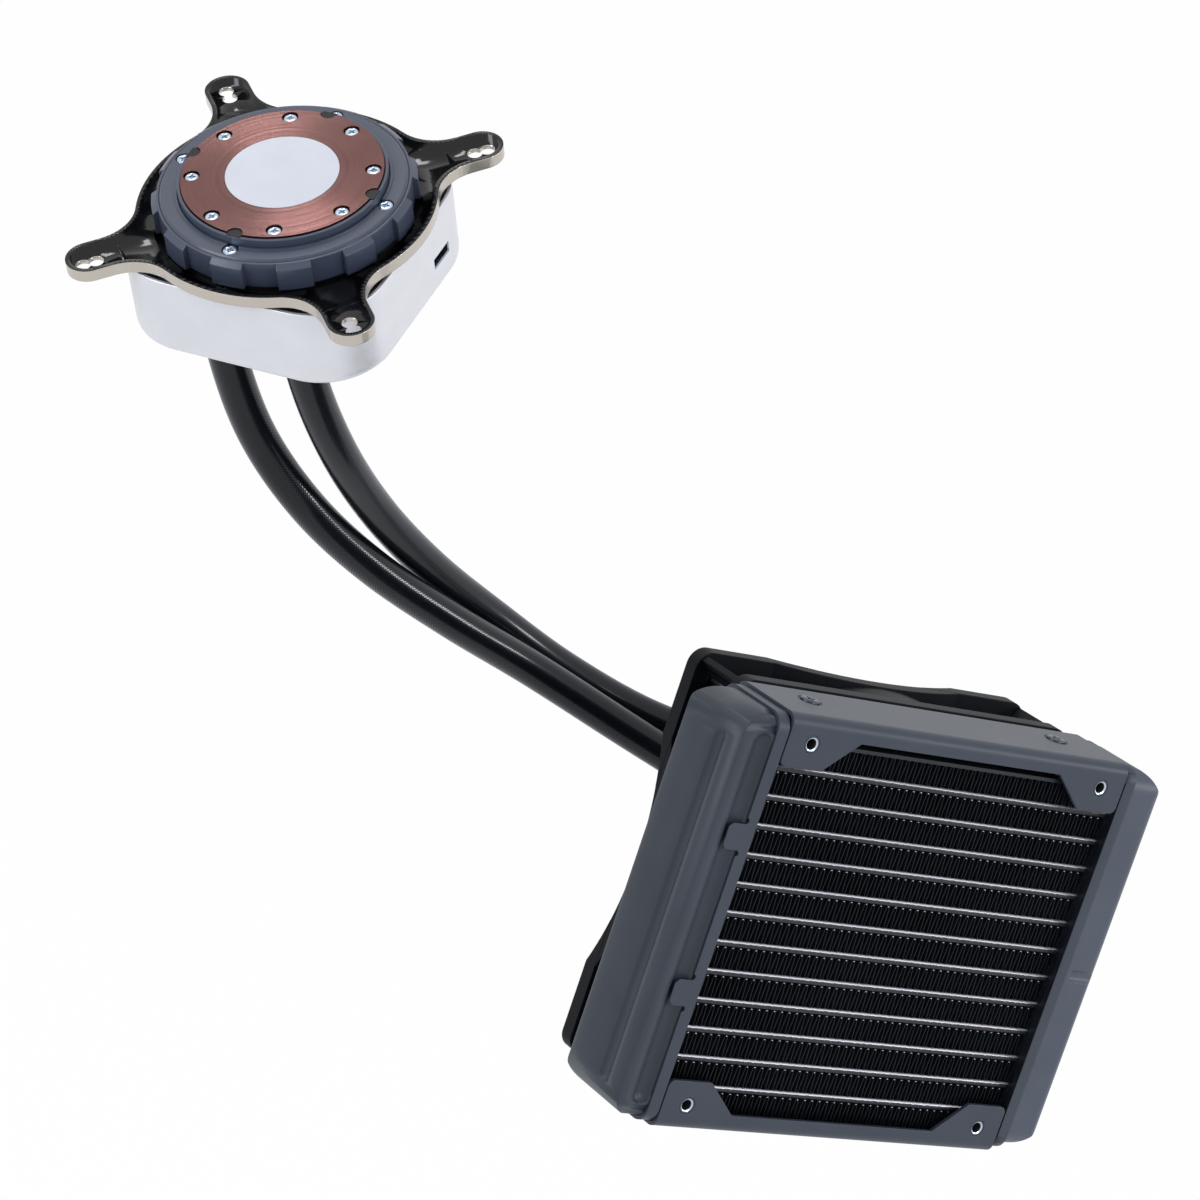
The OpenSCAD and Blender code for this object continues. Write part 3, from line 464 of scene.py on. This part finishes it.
print("stage: camera")
view = {"lens": 117.0, "place": (-0.7044, -0.7619, 0.2775),
        "right": (0.79767, -0.51818, 0.30857), "up": (-0.13735, 0.34212, 0.92957),
        "looking": (0.58725, 0.78387, -0.20172)}
lensData = bpy.data.cameras.new("photoCamera")
lensData.sensor_width, lensData.lens = 36.0, view["lens"]
lensData.clip_start, lensData.clip_end = 0.05, 400.0
camera = bpy.data.objects.new("photoCamera", lensData)
scene.collection.objects.link(camera)
right, up, looking = (Vector(view[k]).normalized() for k in ("right", "up", "looking"))
turned = Matrix((right, up, -looking)).transposed().to_4x4()
camera.matrix_world = Matrix.Translation(view["place"]) @ turned
scene.camera = camera
scene.view_settings.view_transform = "Standard"

# hoses

print("stage: hoses")
hoseLook = {"radius": 5.35, "sides": 40, "perSpan": 26, "stem": (12.0, -22.5, -46.0),
            "tank": (69.1, 40.0, 20.0), "reach": 30.0}
routeA = [(-157, 142, 75), (-134, 142, 57), (-107, 143, 43), (-75, 144, 31), (-41, 144, 20),
          (-9, 136, 9), (21, 122, -1), (47, 101, -11), (64, 74, -18)]
routeB = [(-141, 127, 79), (-113, 140, 60), (-83, 150, 44), (-53, 155, 31), (-23, 153, 19),
          (6, 144, 11), (32, 127, 10), (52, 101, 13), (64, 71, 18)]


def smoothRoute(points, perSpan):
    line = []
    for i in range(1, len(points) - 2):
        a, b, c, d = points[i - 1:i + 3]
        for k in range(perSpan):
            t = k / perSpan
            line.append((2 * b + (c - a) * t + (2 * a - 5 * b + 4 * c - d) * t * t
                         + (3 * b - a - 3 * c + d) * t * t * t) / 2)
    return line + [points[-2]]


def buildHose(name, side, route, node):
    s = hoseLook
    start = headPlace @ Vector((side * s["stem"][0], s["stem"][1], s["stem"][2]))
    finish = Vector((s["tank"][0], s["tank"][1], side * s["tank"][2]))
    points = [start + s["reach"] * headUp, start] + [Vector(p) for p in route]
    points += [finish, finish + Vector((0, -s["reach"], 0))]
    line = smoothRoute(points, s["perSpan"])
    shape = Shape()
    rings, runs, run = [], [], 0.0
    sideways = None
    for i, p in enumerate(line):
        ahead, behind = line[min(i + 1, len(line) - 1)], line[max(i - 1, 0)]
        forward = (ahead - behind).normalized()
        if i == 0:
            forward = -headUp
        if i == len(line) - 1:
            forward = Vector((0, -1, 0))
        if sideways is None:
            sideways = forward.cross(Vector((0, 0, 1))).normalized()
        sideways = (sideways - forward * sideways.dot(forward)).normalized()
        other = forward.cross(sideways)
        run += (p - line[i - 1]).length if i else 0.0
        runs.append(run)
        rings.append([p + s["radius"] * (sideways * math.cos(t) + other * math.sin(t))
                      for t in (2 * math.pi * k / s["sides"] for k in range(s["sides"]))])
    shape.rings(rings, ends=True)
    mesh = meshOf(name, shape)
    layer = mesh.uv_layers.new(name="sleeve")
    n = s["sides"]
    for face in mesh.polygons:
        corner = [mesh.loops[k].vertex_index for k in face.loop_indices]
        wraps = max(c % n for c in corner) == n - 1 and min(c % n for c in corner) == 0
        for k, c in zip(face.loop_indices, corner):
            around = c % n
            if wraps and around == 0 and len(corner) == 4:
                around = n
            layer.data[k].uv = (runs[c // n], around / n)
    piece = pieceOf(name, mesh, [sleeve], "cooler", [node], 60)
    run * mm
    [tuple(p * mm) for p in line[::13] + [line[-1]]]
    print("hose", name, round(run, 1), "mm")
    return piece


buildHose("hoseLower", -1, routeA, "hose_a")
buildHose("hoseUpper", 1, routeB, "hose_b")

# radiator core

print("stage: core")
core = {"length": 122.6, "tubes": 12, "pitch": 8.4, "tube": 1.9, "drop": 2.4, "front": 3.0,
        "depth": 21.0, "wave": 2.65, "skin": 0.14, "steps": 14}
firstTube = -5.5 * core["pitch"] - core["drop"]
rowHeight = core["pitch"] - core["tube"] - 0.12


def finTree():
    # One corrugated strip: a grid pushed up and down by a clipped wave
    t = GeoTree("finStrip", {"Length": "NodeSocketFloat", "Depth": "NodeSocketFloat",
                             "Height": "NodeSocketFloat", "Wave": "NodeSocketFloat",
                             "Steps Along": "NodeSocketInt", "Front": "NodeSocketFloat"})
    grid = t.node("GeometryNodeMeshGrid", {}, {
        "Size X": t.given("Length"), "Size Y": t.given("Depth"),
        "Vertices X": t.given("Steps Along"), "Vertices Y": 3})
    where = t.node("GeometryNodeInputPosition")
    parts = t.node("ShaderNodeSeparateXYZ", {}, (where,))
    x, y = (Value(t, parts.socket.node.outputs[i]) for i in (0, 1))
    wave = (x * (2 * math.pi) / t.given("Wave")).math("SINE") * 6.0
    fold = wave.math("MINIMUM", 1.0).math("MAXIMUM", -1.0)
    rise = fold * t.given("Height") * 0.5
    lift = t.node("ShaderNodeCombineXYZ", {}, (
        x, y + t.given("Front") + t.given("Depth") * 0.5, rise))
    t.end(t.node("GeometryNodeSetPosition", {}, {"Geometry": grid, "Position": lift}))
    return t


def buildFins():
    s = core
    waves = round((s["length"] - 0.6) / s["wave"])
    length = waves * s["wave"]
    strip = finTree().run(bpy.data.meshes.new("seed"), {
        "Length": length * mm, "Depth": (s["depth"] - 0.8) * mm,
        "Height": (rowHeight - s["skin"]) * mm, "Wave": s["wave"] * mm,
        "Steps Along": waves * s["steps"] + 1, "Front": (s["front"] + 0.4) * mm})
    host = bpy.data.objects.new("strip", strip)
    scene.collection.objects.link(host)
    wall = host.modifiers.new("wall", "SOLIDIFY")
    wall.thickness, wall.offset = s["skin"] * mm, 0.0
    strip = madePlain(host)
    rows = inRow.run(strip, {"Count": s["tubes"] + 1, "Step": (0, 0, s["pitch"] * mm),
                             "Start": (0, 0, (firstTube - s["pitch"] / 2) * mm)})
    pieceOf("coreFins", rows, [finCoat], "cooler", ["core_fins"], 40)


def buildTubes():
    # Flat tubes: a band of pale tube metal on the upper shoulder of each nose is a painted
    # highlight; the rest of the nose takes the black fin coat
    s = core
    shape = Shape()
    half, r = s["depth"] / 2 - s["tube"] / 2, s["tube"] / 2
    middle = s["front"] + s["depth"] / 2
    outline, kinds = [], []
    steps = 12
    for end in (-1, 1):
        for k in range(steps + 1):
            t = math.pi * (k / steps - 0.5)
            high = r * math.sin(t) * (1 if end < 0 else -1)
            outline.append((middle + end * (half + r * math.cos(t)), high))
            # Painted highlight: faces on the upper shoulder get the pale tube metal
            kinds.append(0 if 0.36 * r < high < 0.97 * r else 1)
    reach = s["length"] / 2 + 1.7
    count = 150
    rings = []
    for i in range(count + 1):
        x = -reach + 2 * reach * i / count
        ripple = 0.05 * math.sin(i * 2.4) + 0.03 * math.sin(i * 1.3 + 1)
        rings.append([(x, y, z + (ripple if abs(z) < 0.9 * r and z > 0 else 0))
                      for y, z in outline])
    n = len(outline)
    points = [p for ring in rings for p in ring]
    for i in range(count):
        for k in range(n):
            m = (k + 1) % n
            face = (i * n + k, i * n + m, (i + 1) * n + m, (i + 1) * n + k)
            shape.faces.append(face)
            shape.kinds.append(max(kinds[k], kinds[m]))
    shape.points = [Vector(p) for p in points]
    shape.faces += [tuple(range(n)), tuple(count * n + k for k in range(n - 1, -1, -1))]
    shape.kinds += [1, 1]
    tube = meshOf("tube", shape)
    for finish in (tubeMetal, finCoat):
        tube.materials.append(finish)
    rows = inRow.run(tube, {"Count": s["tubes"], "Step": (0, 0, s["pitch"] * mm),
                            "Start": (0, 0, firstTube * mm)})
    pieceOf("coreTubes", rows, [tubeMetal, finCoat], "cooler",
            ["core_tubes"], 50)


def buildSolder():
    # Small fillets where each fin crest is brazed to the tube above it
    s = core
    bead = bmesh.new()
    bmesh.ops.create_icosphere(bead, subdivisions=1, radius=0.2 * mm)
    bmesh.ops.scale(bead, vec=(1.5, 1.0, 0.8), verts=bead.verts)
    seed = bpy.data.meshes.new("bead")
    bead.to_mesh(seed)
    bead.free()
    waves = round((s["length"] - 0.6) / s["wave"])
    left = -waves * s["wave"] / 2 + s["wave"] / 4
    line = inRow.run(seed, {"Count": waves, "Step": (s["wave"] * mm, 0, 0),
                            "Start": (left * mm, (s["front"] + 0.45) * mm, 0)})
    rows = inRow.run(line, {"Count": s["tubes"], "Step": (0, 0, s["pitch"] * mm),
                            "Start": (0, 0, (firstTube - s["tube"] / 2 - 0.22) * mm)})
    pieceOf("brazedFillets", rows, [tubeMetal], "cooler", (), 180)


buildFins()
buildTubes()
buildSolder()

# screws, inserts and rivets

print("stage: fasteners")


def screwShape(headR, headH, length):
    # Pan head with a cross recess, top at 0
    shape = Shape()
    profile = [(0.02, -0.75), (headR * 0.30, -0.72, 4, 0.45), (headR * 0.42, -0.06, 4, 0.40),
               (headR * 0.60, 0.0, 4, 0.03), (headR * 0.86, -0.07), (headR * 0.97, -0.24),
               (headR, -0.45), (headR, -headH), (1.2, -headH), (1.2, -length), (0.02, -length)]
    shape.lathe(profile, 32, closed=False, ends=True)
    return shape


def buildScrews():
    plate = meshOf("screw", screwShape(1.95, 1.3, 9.0))
    mesh = onCircle.run(plate, {"Count": 8, "Radius": 24.2 * mm,
                                "First Angle": math.radians(22.5)})
    mesh.transform(Matrix.Scale(1, 4))
    lift = Matrix.Translation((0, 0, -0.3 * mm))
    place = headPlace.copy()
    place.translation = place.translation * mm
    mesh.transform(place @ lift)
    pieceOf("plateScrews", mesh, [zinc], "cooler", ["plate_screws"], 35)
    ring = meshOf("screw", screwShape(2.0, 1.2, 8.0))
    mesh = onCircle.run(ring, {"Count": 4, "Radius": 30.2 * mm, "First Angle": 0.0})
    mesh.transform(place @ Matrix.Translation((0, 0, -3.0 * mm)))
    pieceOf("ringScrews", mesh, [zinc], "cooler", ["ring_screws"], 35)


def buildInserts():
    # Threaded inserts on both faces: bright chamfered collar; the thread inside takes a
    # near-black finish as painted shade in the bore
    look = {"sides": 40, "turns": 5, "pitch": 0.5, "bore": 1.5, "root": 1.74, "depth": 27.0}
    profile = [(1.95, 0.0), (2.35, 0.0), (2.45, 0.12), (2.45, 1.2), (3.25, 1.2), (3.25, 3.0),
               (1.52, 3.0)]
    for k in range(look["turns"]):
        z = 2.8 - k * look["pitch"]
        profile += [(look["bore"], z), (look["root"], z - look["pitch"] / 2)]
    profile += [(1.52, 0.3)]
    shape = Shape()
    shape.lathe(profile, look["sides"])
    shape.lathe([(r, look["depth"] - z) for r, z in profile], look["sides"])
    radii = [(profile[i][0], profile[(i + 1) % len(profile)][0]) for i in range(len(profile))]
    part = [1 if max(pair) < 1.9 else 2 if min(pair) > 1.9 else 0 for pair in radii]
    shape.kinds = [part[(k // look["sides"]) % len(profile)] for k in range(len(shape.faces))]
    seed = meshOf("insert", shape, alongFan)
    # Bore faces take the near-black finish as painted shade
    finishes = [zinc, darkBore, plateCoat]
    for finish in finishes:
        seed.materials.append(finish)
    hole = 52.5 * mm
    pair = inRow.run(seed, {"Count": 2, "Step": (2 * hole, 0, 0), "Start": (-hole, 0, -hole)})
    mesh = inRow.run(pair, {"Count": 2, "Step": (0, 0, 2 * hole), "Start": (0, 0, 0)})
    pieceOf("threadedInserts", mesh, finishes, "cooler", ["threaded_inserts"],
            35)


def buildRivets():
    # Two pan heads on the top plate, each in its countersink
    spot = {"x": 45.0, "y": 15.5, "top": 60.55, "radius": 2.75, "head": 1.1, "length": 3.4}
    seed = meshOf("rivet", screwShape(spot["radius"], spot["head"], spot["length"]))
    mesh = inRow.run(seed, {"Count": 2, "Step": (2 * spot["x"] * mm, 0, 0),
                            "Start": (-spot["x"] * mm, spot["y"] * mm, spot["top"] * mm)})
    pieceOf("plateRivets", mesh, [darkScrew], "cooler", ["plate_rivets"], 35)


buildScrews()
buildInserts()
buildRivets()

# left tank and fan frame

print("stage: tank and fan")


def copyOfNode(node):
    # Merged copy of a CAD node's mesh, for a piece that needs more than one finish
    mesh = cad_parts[node].data.copy()
    work = bmesh.new()
    work.from_mesh(mesh)
    bmesh.ops.remove_doubles(work, verts=work.verts, dist=1e-7)
    work.to_mesh(mesh)
    work.free()
    return mesh


def cutBy(mesh, cutters):
    # Cuts closed shapes out of a closed mesh
    host = bpy.data.objects.new("cutHost", mesh)
    scene.collection.objects.link(host)
    tools = []
    for k, cutter in enumerate(cutters):
        tool = bpy.data.objects.new("cutTool", meshOf("cutTool", cutter))
        tidyMesh(tool.data)
        scene.collection.objects.link(tool)
        cut = host.modifiers.new("cut" + str(k), "BOOLEAN")
        cut.operation, cut.object, cut.solver = "DIFFERENCE", tool, "EXACT"
        tools.append(tool)
    mesh = madePlain(host)
    for tool in tools:
        bpy.data.objects.remove(tool)
    return mesh


def capsule(x, y, radius, reach, sides=48):
    # Round bar along Z with domed ends
    profile = []
    for k in range(9):
        t = math.pi / 2 * k / 8
        profile.append((max(radius * math.sin(t), 0.01), -reach - radius * math.cos(t)))
    profile += [(r, -z) for r, z in reversed(profile)]
    shape = Shape()
    shape.lathe(profile, sides, closed=False, ends=True)
    shape.points = [p + Vector((x, y, 0)) for p in shape.points]
    return shape


def buildTank():
    # The left tank with its pressed groove and the channel beside the header's rim
    groove = {"x": -78.25, "y": 7.4, "radius": 2.5, "reach": 49.0}
    channel = {"x": -68.2, "y": -1.0, "radius": 3.4, "reach": 50.5}
    cutters = [capsule(s["x"], s["y"], s["radius"], s["reach"]) for s in (groove, channel)]
    mesh = cutBy(copyOfNode("tank_left"), cutters)
    pieceOf("leftTank", mesh, [coat], "cooler", ["tank_left"], 28)


def buildHeader():
    # The right header's wall that faces the fins gets the dark fin coat as painted shade, as dark
    # as the fins
    mesh = copyOfNode("header_right")
    for face in mesh.polygons:
        inner = face.normal.x < -0.9 and face.center.x < 66.0 * mm
        # Painted shade: the inner wall takes the fin coat
        face.material_index = 1 if inner else 0
    pieceOf("rightHeader", mesh, [plateCoat, finCoat], "cooler",
            ["header_right"], 30)


def buildFanTrim():
    # The rear flange follows the waist of each side; the corner webs reach the corners
    s = {"half": 59.97, "back": 51.98, "flange": 4.5, "waist": 6.7, "reach": 34.0, "duct": 59.0,
         "steps": 28, "webIn": 79.0, "webOut": 82.3, "webLow": 29.0, "webHigh": 50.0,
         "webHalf": 0.9}
    arc = (s["reach"] ** 2 + s["waist"] ** 2) / (2 * s["waist"])
    shape = Shape()
    for quarter in range(4):
        turn = Matrix.Rotation(quarter * math.pi / 2, 4, "Y")
        rings = []
        for k in range(s["steps"] + 1):
            x = s["reach"] * (2 * k / s["steps"] - 1)
            rear = s["back"] - s["waist"] + arc - math.sqrt(arc * arc - x * x)
            inner = min(math.sqrt(s["duct"] ** 2 - x * x), s["duct"] - 0.1)
            rings.append([turn @ Vector(p) for p in (
                (x, rear - s["flange"], inner), (x, rear, inner), (x, rear, s["half"]),
                (x, rear - s["flange"], s["half"]))])
        shape.rings(rings, ends=True)
        corner = Shape()
        corner.box((s["webIn"], s["webLow"], -s["webHalf"]),
                   (s["webOut"], s["webHigh"], s["webHalf"]))
        aslant = Matrix.Rotation((quarter + 0.5) * math.pi / 2, 4, "Y")
        shape.add([aslant @ p for p in corner.points], corner.faces)
    pieceOf("fanWaistFlange", meshOf("fanTrim", shape), [fanPlastic], "cooler",
            (), 35)


buildTank()
buildHeader()
buildFanTrim()

# pump head

print("stage: pump head")


def roundedSquare(half, corner, perCorner=18):
    points = []
    for quarter in range(4):
        a = quarter * math.pi / 2
        cx, cy = [(1, 1), (-1, 1), (-1, -1), (1, -1)][quarter]
        for k in range(perCorner + 1):
            t = a + math.pi / 2 * k / perCorner
            points.append(((half - corner) * cx + corner * math.cos(t),
                           (half - corner) * cy + corner * math.sin(t)))
    return points


def headPiece(name, shape, finishes, hides, angle=32, body="cooler"):
    return pieceOf(name, meshOf(name, shape, headPlace), finishes, body, hides, angle)


def buildSkirt():
    s = {"half": 37.4, "corner": 19.0, "top": -13.8, "low": -37.5, "wall": 1.1, "lip": 2.4,
         "roll": 1.3}
    levels = [(0.16, s["top"]), (0.0, s["top"] - 0.16), (0.0, s["low"] + 2.6)]
    for k in range(1, 9):
        t = math.pi / 2 * k / 8
        levels.append((s["roll"] * (1 - math.cos(t)), s["low"] + 2.6 - 2.6 * math.sin(t)))
    levels += [(s["lip"], s["low"]), (s["lip"], s["low"] + 2.6), (s["wall"], s["low"] + 2.6),
               (s["wall"], s["top"] - 0.16), (s["wall"] - 0.16, s["top"])]
    shape = Shape()
    shape.rings([[(x, y, z) for x, y in roundedSquare(s["half"] - i, s["corner"] - i)]
                 for i, z in levels], closed=True)
    mesh = meshOf("skirt", shape)
    tidyMesh(mesh)
    port = Shape()
    port.box((35, 13.4 - 4.4, -28.3 - 1.7), (40, 13.4 + 4.4, -28.3 + 1.7))
    mesh = cutBy(mesh, [port])
    place = headPlace.copy()
    place.translation = place.translation * mm
    mesh.transform(place)
    pieceOf("headSkirt", mesh, [satinSilver], "cooler", ["head_skirt"], 30)


def buildPlateLip():
    # Moulded land between the copper plate and the retainer ring
    shape = Shape()
    shape.lathe([(27.2, -3.25), (27.2, -0.62), (27.32, -0.5), (28.0, -0.5), (28.12, -0.62),
                 (28.12, -3.25)], 160)
    headPiece("plateLip", shape, [collarPlastic], ())


def buildBracket():
    # Pressed sheet of black nickel: gloss black inside; on the outer wall and in the slots a pale
    # copy of the nickel is a painted reflection of the pale floor and backdrop
    mesh = copyOfNode("bracket")
    back = headPlace.inverted()
    for face in mesh.polygons:
        points = [back @ (mesh.vertices[i].co / mm) for i in face.vertices]
        normal = (back.to_3x3() @ face.normal).normalized()
        centre = sum(points, Vector()) / len(points)
        tall = max(p.z for p in points) - min(p.z for p in points)
        far = math.hypot(centre.x, centre.y)
        # Outer wall and slot walls take the pale copy, a painted reflection of the pale floor and
        # backdrop
        outer = abs(normal.z) < 0.4 and (tall > 2.6 or (far > 48 and tall < 1.6))
        face.material_index = 1 if outer else 0
    mesh.polygons.foreach_set("use_smooth", [True] * len(mesh.polygons))
    mesh.set_sharp_from_angle(angle=math.radians(32))
    pieceOf("fourArmBracket", mesh, [blackNickel, paleNickel], "clip_bracket",
            ["bracket"], clean=False)


buildSkirt()
buildPlateLip()
buildBracket()

# finishes on the carried-over nodes

print("stage: carried-over nodes")
carried = {
    "core_bars": finCoat, "header_left": plateCoat,
    "tank_right": tankCoat, "side_plate_top": plateCoat,
    "side_plate_bottom": plateCoat, "tank_fitting_a": blackSteel,
    "tank_fitting_b": blackSteel, "hose_ferrules": blackSteel, "fan_frame": fanPlastic,
    "fan_rotor": rotorPlastic, "fan_magnet": magnetFinish, "fan_shaft": zinc,
    "fan_bearing": bronze, "fan_stator": winding, "fan_board": solderMask, "fan_screws": zinc,
    "head_cap": headPlastic, "head_body": headPlastic, "lock_collar": collarPlastic,
    "retainer_ring": collarPlastic, "cold_plate": copperFinish, "plate_gasket": rubber,
    "thermal_paste": pasteFinish, "impeller": palePlastic, "impeller_shaft": ceramic,
    "head_stator": winding, "head_board": solderMask, "port_shell": zinc,
    "port_tongue": darkBore, "head_stem_a": blackSteel, "head_stem_b": blackSteel}
for node, finish in carried.items():
    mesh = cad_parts[node].data
    mesh.materials.clear()
    mesh.materials.append(finish)

# floor, world and lamps

print("stage: light")
room = {"floorHeight": -0.30, "floorSize": 240.0, "white": 1.0, "share": 0.98}


def seenShare(t):
    # 1 for what the camera sees, or sees mirrored or through something
    path = t.node("ShaderNodeLightPath")
    outs = path.socket.node.outputs
    seen = [Value(t, outs[k]) for k in ("Is Camera Ray", "Is Glossy Ray",
                                        "Is Transmission Ray")]
    return (seen[0] + seen[1] + seen[2]).math("MINIMUM", 1.0)


def buildFloor():
    shape = Shape()
    half = room["floorSize"] / mm / 2
    shape.add([(-half, -half, 0), (half, -half, 0), (half, half, 0), (-half, half, 0)],
              [(0, 1, 2, 3)])
    mesh = meshOf("floor", shape)
    floor = bpy.data.objects.new("floor", mesh)
    floor.location.z = room["floorHeight"]
    scene.collection.objects.link(floor)
    material = bpy.data.materials.new("paleFloor")
    material.use_nodes = True
    t = Tree(material.node_tree)
    t.tree.nodes.clear()
    matt = t.node("ShaderNodeBsdfDiffuse", {}, {"Color": (0.9, 0.9, 0.9, 1)})
    glow = t.node("ShaderNodeEmission", {}, {"Color": (1, 1, 1, 1), "Strength": room["white"]})
    both = t.node("ShaderNodeMixShader", {}, {0: seenShare(t) * room["share"], 1: matt, 2: glow})
    t.node("ShaderNodeOutputMaterial", {}, {"Surface": both})
    mesh.materials.append(material)


def buildWorld():
    world = bpy.data.worlds.new("studio")
    world.use_nodes = True
    t = Tree(world.node_tree)
    t.tree.nodes.clear()
    soft = t.node("ShaderNodeBackground", {}, {"Color": (0.95, 0.97, 1, 1), "Strength": 0.58})
    white = t.node("ShaderNodeBackground", {}, {"Color": (1, 1, 1, 1), "Strength": 1.0})
    both = t.node("ShaderNodeMixShader", {}, {0: seenShare(t), 1: soft, 2: white})
    t.node("ShaderNodeOutputWorld", {}, {"Surface": both})
    scene.world = world


def addLamp(name, place, target, size, power, tint=(1, 1, 1)):
    data = bpy.data.lights.new(name, "AREA")
    data.shape, data.size, data.energy, data.color = "SQUARE", size, power, tint
    lamp = bpy.data.objects.new(name, data)
    lamp.location = place
    lamp.rotation_mode = "QUATERNION"
    lamp.rotation_quaternion = (Vector(target) - Vector(place)).to_track_quat("-Z", "Y")
    scene.collection.objects.link(lamp)


buildFloor()
buildWorld()
aim = (-0.05, 0.06, 0.04)
addLamp("softAbove", (-0.564, 0.381, 1.215), (-0.18, 0.12, 0.14), 0.3, 3.4)
addLamp("softFront", (0.35, -1.35, 0.5), aim, 0.42, 6.0)
addLamp("softRight", (1.2, -0.86, 0.5), aim, 0.26, 4.4)
addLamp("softLeft", (-1.4, 0.1, 0.3), aim, 0.5, 5.0, (0.92, 0.96, 1.0))
